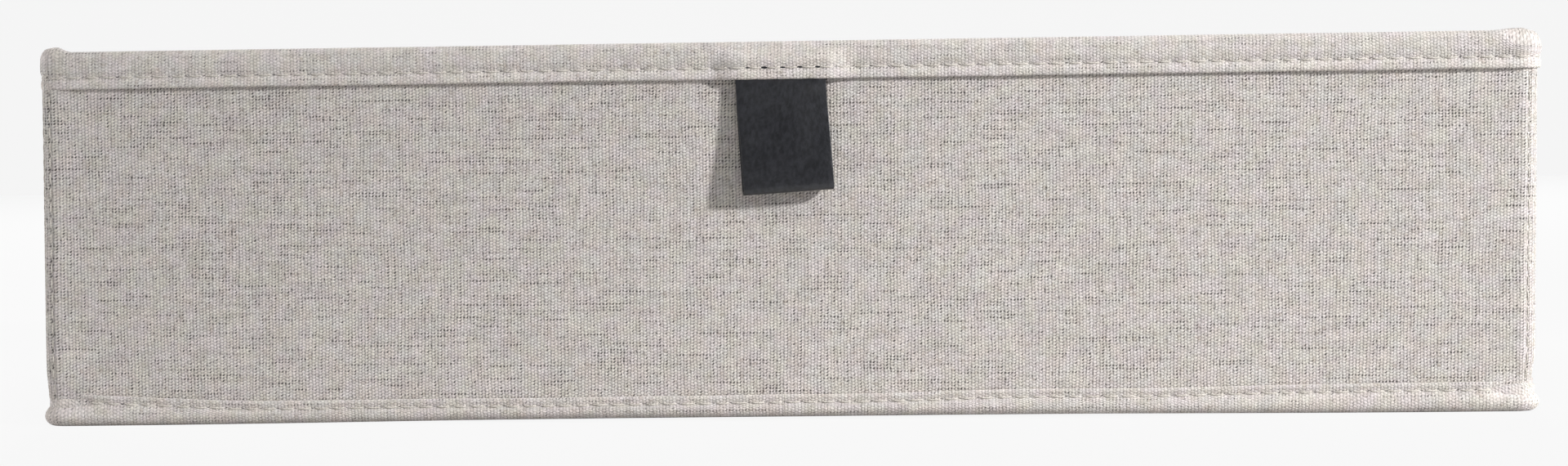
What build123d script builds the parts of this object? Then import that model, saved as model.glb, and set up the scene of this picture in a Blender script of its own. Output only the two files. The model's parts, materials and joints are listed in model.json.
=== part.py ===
"""Shallow cloth storage drawer: an open tray with stiff walls, a bound rim and a leather pull.

Four greyboard walls stand in pockets between an outer cloth and a lining. A folded tape binds
the rim, a second tape binds the base seam, and a loop of leather sewn under the rim tape is the
pull. A cloth-wrapped board lies loose on the floor and lifts out.

Millimetres. X runs along the front, -Y is the front, Z is up. The origin is the middle of the
underside, on the surface that the drawer stands on.
"""

import os

from build123d import *

# ---------------------------------------------------------------- driving dimensions
overall_width = 440.0  # over the rim tape
overall_depth = 340.0  # over the rim tape, without the pull
overall_height = 111.5  # to the top of the folds at the rim's corners

outer_cloth = 0.8
lining_cloth = 0.5
wall_board = 2.0
tape = 1.2  # binding tape, its raw edges folded under

corner_radius = 5.5  # of the outer cloth, seen from above
seam_setback = 6.2  # from the front or back face to the corner seam on the side
board_setback = 7.2  # from the corner to the end of a wall board

rim_band_height = 10.9  # tape showing outside the rim
rim_inner_height = 9.6  # tape showing inside the rim
rim_corner_rise = 1.2  # the tape's folds stand this proud of the rim at a corner
rim_corner_ramp = 7.0  # length over which the tape climbs to that fold

base_band_height = 9.0  # tape showing round the foot of the walls
base_tape_reach = 9.0  # tape lying under the base cloth
base_round = 3.2  # rounding of the tape under the foot
base_lip_round = 0.8
pan_slope = 3.0  # length over which the base cloth drops from the tape to the table

insert_board = 3.0
insert_clearance = 1.3  # to the rim tape, all round
insert_corner = 3.0
insert_turn_in = 20.0  # cloth folded under the loose board

leather = 1.1
pull_width = 26.3
pull_length = 32.2  # from the rim tape's edge to the fold
pull_offset = -0.5  # of the pull from the middle of the front
pull_skew = 3.3  # degrees that the loop hangs out of square
pull_lean = 3.0  # degrees that the loop stands off the front
pull_fold_radius = 2.0  # outside of the fold at the loop's foot
pull_join = 4.0  # below the hinge line, where the two layers part
pull_tail = 5.5  # leather sewn in above the tape's edge
pull_drop = 2.7  # from the tape's edge down to the hinge line
bare_bend = 0.8  # leather that bends freely, between the sewn tail and the loop
running_gap = 0.3  # between the loop and the front that it hangs against
pocket_slack = 0.4  # room beside and above the sewn-in tail
swell_ramp = 4.5  # length over which the tape climbs onto the leather

# ---------------------------------------------------------------- derived sizes
body_width = overall_width - 2 * tape
body_depth = overall_depth - 2 * tape
wall_thickness = outer_cloth + wall_board + lining_cloth
tape_span = wall_thickness + 2 * tape
rim_top = overall_height - rim_corner_rise
wall_top = rim_top - tape
rim_lip = rim_top - rim_band_height
inner_lip = rim_top - rim_inner_height

base_flange_top = tape + outer_cloth
floor_top = base_flange_top + lining_cloth
lining_offset = outer_cloth + wall_board

insert_width = body_width - 2 * (wall_thickness + tape + insert_clearance)
insert_depth = body_depth - 2 * (wall_thickness + tape + insert_clearance)
insert_thickness = insert_board + 2 * lining_cloth

front_face = -body_depth / 2
swell = 2 * leather  # the tail is two layers thick
hinge_height = rim_lip - pull_drop
hinge_front = front_face - leather - running_gap
loop_length = pull_length - pull_drop

parts = {}


# ---------------------------------------------------------------- helpers
def slab(width, depth, radius, low, high):
    """A flat piece with rounded corners, from height low to height high, round the origin."""
    outline = RectangleRounded(width, depth, radius)
    return Pos(0, 0, low) * extrude(outline, amount=high - low)


def block(x, y, z):
    """A box given by its two limits on each axis."""
    size = (x[1] - x[0], y[1] - y[0], z[1] - z[0])
    middle = (sum(x) / 2, sum(y) / 2, sum(z) / 2)
    return Pos(*middle) * Box(*size)


def one_solid(shape):
    """The single solid of a result, and an error if a cut or a union came apart."""
    solids = shape.solids()
    if len(solids) != 1:
        raise ValueError(f"{len(solids)} solids where one was expected")
    return solids[0]


# ---------------------------------------------------------------- outer cloth of the walls
def wall_sleeve():
    """The outer cloth of all four walls, before it is parted at the corner seams."""
    outside = slab(body_width, body_depth, corner_radius, base_flange_top, wall_top)
    inside = slab(
        body_width - 2 * outer_cloth,
        body_depth - 2 * outer_cloth,
        corner_radius - outer_cloth,
        base_flange_top,
        wall_top,
    )
    return outside - inside


def seam_allowances(seam_near, seam_far):
    """The turned-in edges of one panel: a strip inside the cloth at each side wall."""
    rise = (base_flange_top, wall_top)
    strips = []
    for side in (-1, 1):
        outer = side * (body_width / 2 - outer_cloth)
        inner = side * (body_width / 2 - lining_offset)
        strips.append(block(sorted((outer, inner)), sorted((seam_near, seam_far)), rise))
    return strips


def end_panel_cloth(end):
    """Front (end -1) or back (end 1) cloth: it turns both corners and ends in a side seam."""
    seam = end * (body_depth / 2 - seam_setback)
    beyond = end * overall_depth
    keep = block(
        (-overall_width, overall_width), sorted((seam, beyond)), (0, overall_height)
    )
    panel = wall_sleeve() & keep
    for strip in seam_allowances(seam, seam + end * outer_cloth):
        panel += strip
    return one_solid(panel)


def side_panel_cloth(side):
    """Left (side -1) or right (side 1) cloth: flat, with both edges turned in at the seams."""
    seam = body_depth / 2 - seam_setback
    rise = (base_flange_top, wall_top)
    outer = side * body_width / 2
    inner = outer - side * outer_cloth
    flange = outer - side * lining_offset
    panel = block(sorted((outer, inner)), (-seam, seam), rise)
    for end in (-1, 1):
        edge = sorted((end * seam, end * (seam - outer_cloth)))
        panel += block(sorted((inner, flange)), edge, rise)
    return one_solid(panel)


parts["front_outer_cloth"] = end_panel_cloth(-1)
parts["back_outer_cloth"] = end_panel_cloth(1)
parts["left_outer_cloth"] = side_panel_cloth(-1)
parts["right_outer_cloth"] = side_panel_cloth(1)


# ---------------------------------------------------------------- boards and wall linings
def end_wall_layer(end, offset, thickness, setback, low):
    """A flat layer of the front or back wall, offset inwards from the outer face."""
    outer = end * (body_depth / 2 - offset)
    inner = outer - end * thickness
    reach = body_width / 2 - setback
    return block((-reach, reach), sorted((outer, inner)), (low, wall_top))


def side_wall_layer(side, offset, thickness, setback, low):
    """A flat layer of a side wall, offset inwards from the outer face."""
    outer = side * (body_width / 2 - offset)
    inner = outer - side * thickness
    reach = body_depth / 2 - setback
    return block(sorted((outer, inner)), (-reach, reach), (low, wall_top))


for name, end in (("front", -1), ("back", 1)):
    parts[f"{name}_wall_board"] = end_wall_layer(
        end, outer_cloth, wall_board, board_setback, base_flange_top
    )
    parts[f"{name}_lining"] = end_wall_layer(
        end, lining_offset, lining_cloth, lining_offset, floor_top
    )

for name, side in (("left", -1), ("right", 1)):
    parts[f"{name}_wall_board"] = side_wall_layer(
        side, outer_cloth, wall_board, board_setback, base_flange_top
    )
    parts[f"{name}_lining"] = side_wall_layer(
        side, lining_offset, lining_cloth, wall_thickness, floor_top
    )


# ---------------------------------------------------------------- base cloth and floor lining
def pan(width, depth, radius, low, thickness):
    """A cloth sewn in at height low round its edge and sagging by one tape inside that edge."""

    def outline(inset, height):
        """The sheet's outline, inset from its edge, at a height."""
        corner = max(radius - inset, radius / 2)
        sketch = RectangleRounded(width - 2 * inset, depth - 2 * inset, corner)
        return Pos(0, 0, height) * sketch

    def sag(shift):
        """The sagging middle as a solid, raised by shift."""
        top = outline(edge, low + shift)
        foot = outline(edge + pan_slope, low - tape + shift)
        return loft([foot, top])

    edge = base_tape_reach
    sheet = slab(width, depth, radius, low, low + thickness) + sag(0)
    return one_solid(sheet - sag(thickness))


parts["base_outer_cloth"] = pan(body_width, body_depth, corner_radius, tape, outer_cloth)
parts["floor_lining"] = pan(
    body_width - 2 * lining_offset,
    body_depth - 2 * lining_offset,
    corner_radius - lining_offset,
    base_flange_top,
    lining_cloth,
)


# ---------------------------------------------------------------- rim tape
def rim_section(station, half_depth, rise=0.0, lifted=0.0):
    """The tape's section across the front rim, at X = station.

    rise lifts the tape's top, where folds pile up at a corner. lifted pushes its outer leg
    away from the wall, where leather is sewn in under it.
    """
    lip = tape / 2
    top_radius = tape_span / 2
    shoulder = rim_top - top_radius
    pocket_top = rim_lip + pull_tail + pocket_slack

    def at(outwards, height):
        """A point that far outside the wall's outer face."""
        return Vector(station, -half_depth - outwards, height)

    leg = lifted + tape
    inner = -wall_thickness
    outer_lip = (at(lifted, rim_lip + lip), at(lifted + lip, rim_lip), at(leg, rim_lip + lip))
    crown = (
        at(tape, shoulder + rise),
        at(tape - top_radius, rim_top + rise),
        at(inner - tape, shoulder + rise),
    )
    inner_edge = (
        at(inner - tape, inner_lip + lip),
        at(inner - lip, inner_lip),
        at(inner, inner_lip + lip),
    )
    edges = [
        ThreePointArc(*outer_lip),
        Line(outer_lip[2], at(leg, pocket_top)),
        Line(at(leg, pocket_top), crown[0]),
        ThreePointArc(*crown),
        Line(crown[2], inner_edge[0]),
        ThreePointArc(*inner_edge),
        Line(inner_edge[2], at(inner, wall_top)),
        Line(at(inner, wall_top), at(0, wall_top)),
        Line(at(0, wall_top), at(lifted, pocket_top)),
        Line(at(lifted, pocket_top), outer_lip[0]),
    ]
    return Wire(edges)


def rim_side(half_length, half_depth, with_pull=False):
    """The tape along the front rim, between its corners, lofted from section to section."""
    ends = half_length - corner_radius
    stations = [(-ends, rim_corner_rise, 0), (-ends + rim_corner_ramp, 0, 0)]
    if with_pull:
        half_pull = pull_width / 2 + pocket_slack
        left, right = pull_offset - half_pull, pull_offset + half_pull
        stations += [
            (left - swell_ramp, 0, 0),
            (left, 0, swell),
            (right, 0, swell),
            (right + swell_ramp, 0, 0),
        ]
    stations += [(ends - rim_corner_ramp, 0, 0), (ends, rim_corner_rise, 0)]
    sections = [rim_section(x, half_depth, rise, lifted) for x, rise, lifted in stations]
    return Solid.make_loft(sections, ruled=True)


def rim_corner(half_length, half_depth):
    """The tape round the front right corner, with its folds standing proud."""
    ends = half_length - corner_radius
    section = Face(rim_section(ends, half_depth, rim_corner_rise))
    post = Axis((ends, -half_depth + corner_radius, 0), (0, 0, 1))
    return revolve(section, post, 90)


def rim_tape():
    """One strip of folded tape all round the rim, swollen where the pull is sewn in."""
    half_width, half_depth = body_width / 2, body_depth / 2
    ring = rim_side(half_width, half_depth, with_pull=True)
    ring += Rot(0, 0, 180) * rim_side(half_width, half_depth)
    for turn in (90, 270):
        ring += Rot(0, 0, turn) * rim_side(half_depth, half_width)
    for turn in (0, 180):
        ring += Rot(0, 0, turn) * rim_corner(half_width, half_depth)
    for turn in (90, 270):
        ring += Rot(0, 0, turn) * rim_corner(half_depth, half_width)
    return one_solid(ring)


parts["rim_binding"] = rim_tape()


# ---------------------------------------------------------------- base tape
def base_tape():
    """The tape round the foot of the walls, turned under the edge of the base cloth."""
    band = slab(
        body_width + 2 * tape,
        body_depth + 2 * tape,
        corner_radius + tape,
        0,
        base_band_height,
    )
    band = fillet(band.edges().group_by(Axis.Z)[0], base_round)
    band = fillet(band.edges().group_by(Axis.Z)[-1], base_lip_round)
    wall = slab(body_width, body_depth, corner_radius, tape, base_band_height)
    under_width = body_width - 2 * base_tape_reach
    under_depth = body_depth - 2 * base_tape_reach
    opening = slab(under_width, under_depth, corner_radius / 2, 0, tape)
    return one_solid(band - wall - opening)


parts["base_binding"] = base_tape()


# ---------------------------------------------------------------- leather pull
def sewn_tail():
    """The two ends of the leather, sewn in under the rim tape."""
    half = pull_width / 2
    foot = hinge_height + leather + bare_bend
    return block(
        (pull_offset - half, pull_offset + half),
        (front_face - swell, front_face),
        (foot, rim_lip + pull_tail),
    )


def folded_outline(points, fold):
    """A closed outline through points, with an arc over the fold from the last to the first."""
    edges = [Line(a, b) for a, b in zip(points[:-1], points[1:])]
    edges.append(ThreePointArc(points[-1], fold, points[0]))
    return Face(Wire(edges))


def pull_loop():
    """The hanging loop: a strip folded at its foot, its layers closed at the hinge line."""

    def at(outwards, down):
        """A point of the loop's outline, measured from the hinge line."""
        return Vector(-pull_width / 2, -outwards, -down)

    overlap = 2 * leather  # the strip starts this far above the hinge line, and is cut to it
    bend = loop_length - pull_fold_radius
    front = 2 * pull_fold_radius - leather
    middle = pull_fold_radius - leather
    neck = [at(leather, 0), at(leather, -overlap), at(-leather, -overlap)]
    outside = folded_outline(
        [at(front, bend), *neck, at(-leather, bend)], at(middle, loop_length)
    )
    hollow = folded_outline(
        [at(front - leather, bend), at(0, pull_join), at(0, bend)],
        at(middle, loop_length - leather),
    )
    strip = extrude(outside, amount=pull_width, dir=(1, 0, 0))
    strip -= extrude(hollow, amount=pull_width, dir=(1, 0, 0))
    strip = Rot(-pull_lean, 0, 0) * (Rot(0, -pull_skew, 0) * strip)
    reach = 2 * pull_length
    strip &= block((-reach, reach), (-reach, reach), (-reach, 0))
    knuckle = Rot(0, 90, 0) * Cylinder(leather, pull_width)
    return Pos(pull_offset, hinge_front, hinge_height) * one_solid(strip + knuckle)


parts["pull_tail"] = sewn_tail()
parts["pull_loop"] = pull_loop()


# ---------------------------------------------------------------- loose floor board
def insert_wrap():
    """Lining cloth over the loose board, turned in and glued under its edge."""
    top = floor_top + insert_thickness
    skin = slab(insert_width, insert_depth, insert_corner, floor_top, top)
    window = slab(
        insert_width - 2 * insert_turn_in,
        insert_depth - 2 * insert_turn_in,
        insert_corner,
        floor_top,
        floor_top + lining_cloth,
    )
    return one_solid(skin - insert_core() - window)


def insert_core():
    """The loose board itself."""
    return slab(
        insert_width - 2 * lining_cloth,
        insert_depth - 2 * lining_cloth,
        insert_corner - lining_cloth,
        floor_top + lining_cloth,
        floor_top + lining_cloth + insert_board,
    )


parts["insert_board"] = one_solid(insert_core())
parts["insert_wrap"] = insert_wrap()

# ---------------------------------------------------------------- output
os.makedirs("parts", exist_ok=True)
for name, shape in parts.items():
    shape.label = name
    export_step(shape, f"parts/{name}.step")

loop_swing = f"x {pull_offset:.3f}, y {hinge_front:.3f}, z {hinge_height:.3f}"
print(f"{len(parts)} pieces; the pull swings about X through {loop_swing}")
room_x = body_width / 2 - wall_thickness - tape
room_y = body_depth / 2 - wall_thickness - tape
room_z = floor_top + insert_thickness
print(f"room inside: x +-{room_x:.2f}, y +-{room_y:.2f}, from z {room_z:.2f}")
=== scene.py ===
# %% [markdown]
# # A cloth-covered drawer
#
# The object is a shallow open drawer. Four boards stand in pockets between an outer cloth and a
# lining. A folded tape is sewn over the rim and another round the foot, and a loop of black
# leather hangs from under the rim tape as the pull. A loose wrapped board lies on the floor.
#
# The stiff model comes first, as a fixed frame. Every size that it already holds is read from it,
# so that the cloth made here fits the boards that it covers.

# %% Load the frame
import json
import math

import bmesh
import bpy
from mathutils import Matrix, Vector, noise


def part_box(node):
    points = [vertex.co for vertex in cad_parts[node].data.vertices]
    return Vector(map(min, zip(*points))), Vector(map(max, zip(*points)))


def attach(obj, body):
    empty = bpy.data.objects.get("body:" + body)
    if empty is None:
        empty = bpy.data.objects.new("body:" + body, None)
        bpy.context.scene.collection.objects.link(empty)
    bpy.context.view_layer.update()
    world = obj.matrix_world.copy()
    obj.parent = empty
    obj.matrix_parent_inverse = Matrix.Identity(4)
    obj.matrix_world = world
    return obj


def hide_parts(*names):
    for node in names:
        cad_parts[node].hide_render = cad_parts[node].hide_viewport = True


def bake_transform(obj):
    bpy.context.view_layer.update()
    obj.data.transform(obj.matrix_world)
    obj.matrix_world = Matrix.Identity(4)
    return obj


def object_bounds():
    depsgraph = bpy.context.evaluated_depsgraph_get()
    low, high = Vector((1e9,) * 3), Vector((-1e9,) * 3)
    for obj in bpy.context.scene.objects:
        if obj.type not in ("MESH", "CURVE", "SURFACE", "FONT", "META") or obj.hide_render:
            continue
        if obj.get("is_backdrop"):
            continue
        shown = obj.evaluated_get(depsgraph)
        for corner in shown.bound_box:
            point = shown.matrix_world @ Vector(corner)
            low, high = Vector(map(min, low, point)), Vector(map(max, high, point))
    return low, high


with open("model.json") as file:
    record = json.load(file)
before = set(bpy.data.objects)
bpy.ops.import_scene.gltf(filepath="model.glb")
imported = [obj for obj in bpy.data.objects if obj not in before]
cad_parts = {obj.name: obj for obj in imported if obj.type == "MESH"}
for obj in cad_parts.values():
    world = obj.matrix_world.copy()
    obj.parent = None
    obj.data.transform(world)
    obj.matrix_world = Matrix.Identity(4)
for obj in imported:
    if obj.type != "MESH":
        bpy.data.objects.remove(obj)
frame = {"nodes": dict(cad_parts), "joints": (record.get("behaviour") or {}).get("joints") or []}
cad_low, cad_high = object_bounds()

MM = 0.001
UP = Vector((0, 0, 1))

# %% Sizes that the frame gives
cloth_low, cloth_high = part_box("front_outer_cloth")
half_width = cloth_high.x
half_depth = -cloth_low.y
wall_foot, wall_top = cloth_low.z, cloth_high.z

rim_low, rim_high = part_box("rim_binding")
tape = rim_high.x - half_width
rim_lip = rim_low.z

wall_thickness = half_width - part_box("right_lining")[0].x
insert_low, insert_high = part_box("insert_wrap")
hinge = Vector(frame["joints"][0]["pos_m"])
print(f"walls {2000 * half_width:.1f} by {2000 * half_depth:.1f} mm")

# %% [markdown]
# ## The path round the walls
#
# Cloth that wraps a box is easiest to think of flat: so far along the wall, so far up. A path
# turns a distance along the cloth, measured from the middle of the front, into a place on the
# walls' outline and the direction that points out of the wall there.


# %% A path with round corners
class WallPath:
    """The walls' outline from above, followed from the middle of the front towards the right."""

    def __init__(self, corner):
        self.corner = corner
        self.ahead = half_width - corner
        self.aside = half_depth - corner
        self.quarter = self.ahead + self.aside + math.pi / 2 * corner
        self.length = 4 * self.quarter

    def at(self, distance):
        """The outline's point and outward direction at a distance along it."""
        along = distance % self.length
        half_turn = along > 2 * self.quarter
        if half_turn:
            along -= 2 * self.quarter
        behind = along > self.quarter
        if behind:
            along = 2 * self.quarter - along
        angle = min(max((along - self.ahead) / self.corner, 0), math.pi / 2)
        past = max(along - self.ahead - math.pi / 2 * self.corner, 0)
        outward = Vector((math.sin(angle), -math.cos(angle), 0))
        point = Vector((min(along, self.ahead), past - self.aside, 0)) + self.corner * outward
        if behind:
            point.y, outward.y = -point.y, -outward.y
        if half_turn:
            point, outward = -point, -outward
        return point, outward

    def from_corner(self, distance):
        """How far a place is from the middle of the nearest corner."""
        corner = self.ahead + math.pi / 4 * self.corner
        along = distance % (2 * self.quarter)
        return min(abs(along - corner), abs(2 * self.quarter - corner - along))


def ease(value, start, end):
    """0 before start, 1 after end, and a smooth climb between them."""
    share = min(max((value - start) / (end - start), 0), 1)
    return share * share * (3 - 2 * share)


def dip(value, centre, width):
    """1 at centre, fading to 0 over about twice the width."""
    return math.exp(-(((value - centre) / width) ** 2))


def wobble(*place):
    """A smooth random number, mostly within a half of 0, for a place in some space."""
    return noise.noise(Vector(place))


def needle_pull(along, pitch):
    """1 at each needle hole and 0 midway between two."""
    return 0.5 + 0.5 * math.cos(2 * math.pi * along / pitch)


tape_path = WallPath(corner=5.5 * MM)
panel_path = WallPath(corner=5.0 * MM)
print(f"the rim is {1000 * tape_path.length:.0f} mm round")

# %% [markdown]
# ## How soft walls settle
#
# The real walls aren't a perfect box. The base is cut a little smaller than the rim, so the side
# walls lean in, and the whole foot has slipped sideways. One function moves every piece the same
# way, so the cloth never parts from its board.

# %% The lean of the walls
foot_draw = 0.35 * MM
foot_slip = 1.2 * MM


def settle(bm):
    """Leans every point of a stiff piece the way the soft walls lean."""
    for vert in bm.verts:
        below = 1 - min(max(vert.co.z / wall_top, 0), 1)
        vert.co.x -= below * (foot_slip + foot_draw * vert.co.x / half_width)
        vert.co.y -= below * foot_draw * vert.co.y / half_depth


# %% [markdown]
# ## Small helpers for pieces
#
# A flat grid is the cloth on the cutting table. Its columns and rows are numbered in its own
# coordinates, the UV map called cloth keeps the flat place in metres for the weave, and then each
# point is moved to where the sewn cloth lies.


# %% Cut, place and finish
def cut_cloth(columns, rows, flat_at):
    """A grid of columns and rows, with its flat place in metres in the UV map."""
    bm = bmesh.new()
    bmesh.ops.create_grid(bm, x_segments=columns, y_segments=rows, size=1)
    low = min(vert.co.x for vert in bm.verts)
    span = max(vert.co.x for vert in bm.verts) - low
    for vert in bm.verts:
        vert.co.x = round((vert.co.x - low) / span * columns)
        vert.co.y = round((vert.co.y - low) / span * rows)
    flat = bm.loops.layers.uv.new("cloth")
    for face in bm.faces:
        for loop in face.loops:
            loop[flat].uv = flat_at(loop.vert.co.x, loop.vert.co.y)
    return bm


def smooth_object(bm, name, material):
    """Turns a bmesh into a smooth object in the scene."""
    mesh = bpy.data.meshes.new(name)
    bm.to_mesh(mesh)
    bm.free()
    mesh.polygons.foreach_set("use_smooth", [True] * len(mesh.polygons))
    mesh.materials.append(material)
    made = bpy.data.objects.new(name, mesh)
    bpy.context.scene.collection.objects.link(made)
    return made


def make_piece(bm, name, material, body, slot, *replaces):
    """Turns a bmesh into a finished piece that rides on a body. The tray's pieces all lean."""
    if body == "tray":
        settle(bm)
    piece = smooth_object(bm, name, material)
    if body:
        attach(piece, body)
    if replaces:
        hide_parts(*replaces)
    print(f"{name}: {len(piece.data.polygons)} faces")
    return piece


def block(size, middle):
    """A box of a size round its middle."""
    bm = bmesh.new()
    bmesh.ops.create_cube(bm, size=1)
    bmesh.ops.scale(bm, vec=size, verts=bm.verts)
    bmesh.ops.translate(bm, vec=middle, verts=bm.verts)
    return bm


def skin_rings(bm, rings):
    """Joins rings of points into a closed bar."""
    for near, far in zip(rings, rings[1:]):
        for k in range(len(near)):
            bm.faces.new((near[k], near[k - 1], far[k - 1], far[k]))
    bm.faces.new(rings[0])
    bm.faces.new(reversed(rings[-1]))


def round_edges(bm, edges, offset, segments):
    """Rounds some of a solid's edges."""
    bmesh.ops.bevel(bm, geom=edges, offset=offset, segments=segments, profile=0.5,
                    affect="EDGES", material=-1)


def thicken(piece, thickness, offset=-1):
    """Gives a sheet its thickness, inwards unless told otherwise."""
    solid = piece.modifiers.new("thickness", "SOLIDIFY")
    solid.thickness = thickness
    solid.offset = offset


# %% [markdown]
# ## Nodes, written short
#
# Materials here are sums: a pitch, a remainder, a cosine. A Value stands for what a socket puts
# out. Python's own signs between two Values make the Math nodes, so the sums read as sums.


# %% Node helpers
def feed(node, feeds):
    """Feeds a node's sockets: a Value is linked, and anything else is the socket's own value."""
    for name, value in feeds.items():
        if isinstance(value, Value):
            value.tree.links.new(value.socket, node.inputs[name])
        else:
            node.inputs[name].default_value = value


def make_node(tree, kind, feeds, output=0, **settings):
    """A node with its settings made and its sockets fed, as the Value that it puts out."""
    made = tree.nodes.new(kind)
    for name, value in settings.items():
        setattr(made, name, value)
    feed(made, feeds)
    return Value(tree, made.outputs[output])


class Value:
    """What a socket puts out, ready for arithmetic."""

    def __init__(self, tree, socket):
        self.tree, self.socket = tree, socket

    def math(self, operation, other=0.0):
        """The result of a Math node that takes this value first."""
        return make_node(self.tree, "ShaderNodeMath", {0: self, 1: other}, operation=operation)

    def __add__(self, other):
        return self.math("ADD", other)

    def __sub__(self, other):
        return self.math("SUBTRACT", other)

    def __mul__(self, other):
        return self.math("MULTIPLY", other)

    def __truediv__(self, other):
        return self.math("DIVIDE", other)

    def __mod__(self, other):
        return self.math("FLOORED_MODULO", other)

    def __abs__(self):
        return self.math("ABSOLUTE")

    def __round__(self):
        return self.math("ROUND")

    def spread(self, low, high, to_low=0.0, to_high=1.0):
        """A smooth step from to_low to to_high as the value goes from low to high."""
        ends = {"From Min": low, "From Max": high, "To Min": to_low, "To Max": to_high}
        return make_node(self.tree, "ShaderNodeMapRange", {"Value": self, **ends}, "Result",
                         interpolation_type="SMOOTHSTEP")


def pair(x, y):
    """Two numbers as a vector."""
    return make_node(x.tree, "ShaderNodeCombineXYZ", {"X": x, "Y": y})


def split(vector):
    """A vector's first two numbers."""
    return [make_node(vector.tree, "ShaderNodeSeparateXYZ", {0: vector}, axis) for axis in "XY"]


def cloudy(place, scale=1.0, detail=1.0):
    """A noise value over a flat place, about 0.5 in the middle."""
    return make_node(place.tree, "ShaderNodeTexNoise",
                     {"Vector": place, "Scale": scale, "Detail": detail}, noise_dimensions="2D")


def solid_noise(tree, scale, detail=2.0, stretch=(1, 1, 1)):
    """Noise through the solid piece, stretched if it has a direction."""
    place = make_node(tree, "ShaderNodeTexCoord", {}, "Object")
    place = make_node(tree, "ShaderNodeMapping", {"Vector": place, "Scale": stretch})
    return make_node(tree, "ShaderNodeTexNoise",
                     {"Vector": place, "Scale": scale, "Detail": detail})


def chance(number):
    """A steady random value for each whole number."""
    return make_node(number.tree, "ShaderNodeTexWhiteNoise", {"W": number}, "Value",
                     noise_dimensions="1D")


def mix_colour(share, first, second, blend="MIX"):
    """Two colours mixed by a share. At least one of the three is a Value."""
    tree = next(one.tree for one in (share, first, second) if isinstance(one, Value))
    return make_node(tree, "ShaderNodeMix", {0: share, 6: first, 7: second}, 2,
                     data_type="RGBA", blend_type=blend)


def relief(height, depth, strength=1.0, over=None):
    """The normal of a surface raised by a height, where a height of 1 stands for depth."""
    feeds = {"Height": height, "Distance": depth, "Strength": strength}
    if over:
        feeds["Normal"] = over
    return make_node(height.tree, "ShaderNodeBump", feeds)


def new_group(name, inputs):
    """An empty shader node group and the Values that it is given. None asks for a vector."""
    tree = bpy.data.node_groups.new(name, "ShaderNodeTree")
    for label, default in inputs.items():
        kind = "NodeSocketVector" if default is None else "NodeSocketFloat"
        socket = tree.interface.new_socket(label, in_out="INPUT", socket_type=kind)
        if default is not None:
            socket.default_value = default
    given = tree.nodes.new("NodeGroupInput").outputs
    return tree, *(Value(tree, given[label]) for label in inputs)


def put_out(tree, **values):
    """Gives a node group its outputs."""
    for label in values:
        tree.interface.new_socket(label, in_out="OUTPUT", socket_type="NodeSocketFloat")
    feed(tree.nodes.new("NodeGroupOutput"), values)


def place_group(tree, group, **inputs):
    """A group placed in a material with its inputs fed, as the Values that it puts out."""
    made = tree.nodes.new("ShaderNodeGroup")
    made.node_tree = group
    feed(made, inputs)
    return {socket.name: Value(tree, socket) for socket in made.outputs}


def srgb(red, green, blue):
    """A colour as a screen shows it, 0 to 255, turned into the light that a shader counts in."""
    values = [c / 255 for c in (red, green, blue)]
    return (*(c / 12.92 if c <= 0.04045 else ((c + 0.055) / 1.055) ** 2.4 for c in values), 1.0)


# %% [markdown]
# ## The weave
#
# Seen close, the cloth is a plain weave. Each upright yarn shows as a row of bumps where it passes
# over a cross yarn, and its neighbour's bumps sit half a step higher. Between two bumps that meet
# cornerwise there's a small slanted hole. The reed drew the yarns in pairs, so the holes in every
# second gap are wider. A loose yarn opens a whole run of them wider, along the cloth or across it,
# and the shade painted into that run deepens. A picture of cloth would repeat, so the pattern is
# worked out from the flat place of each point instead. The group gives only values, and each cloth
# turns them into its own colours and into painted shade in the holes and between the bumps.

# %% Weave group
rib_gap = 0.98 * MM  # from one upright yarn to the next
pick_gap = 0.45 * MM  # from one cross yarn to the next
dot_width, own_dot_length, row_dot_length = 0.34, 0.56, 0.50  # a hole's, in steps of the weave
wander_share, drift_share = 0.9, 0.7  # how far the yarns stray slowly, in steps of the weave
uneven_across, uneven_along = 0.40, -0.35  # and from bump to bump


def slanted_dot(across, along, length):
    """1 in the middle of a slanted spot, fading to 0 at its edge."""
    long_way = (across + along) * (0.7 / length)
    short_way = (along - across) * (0.7 / dot_width)
    return (long_way * long_way + short_way * short_way).spread(0.0, 1.0, 1.0, 0.0)


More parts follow.
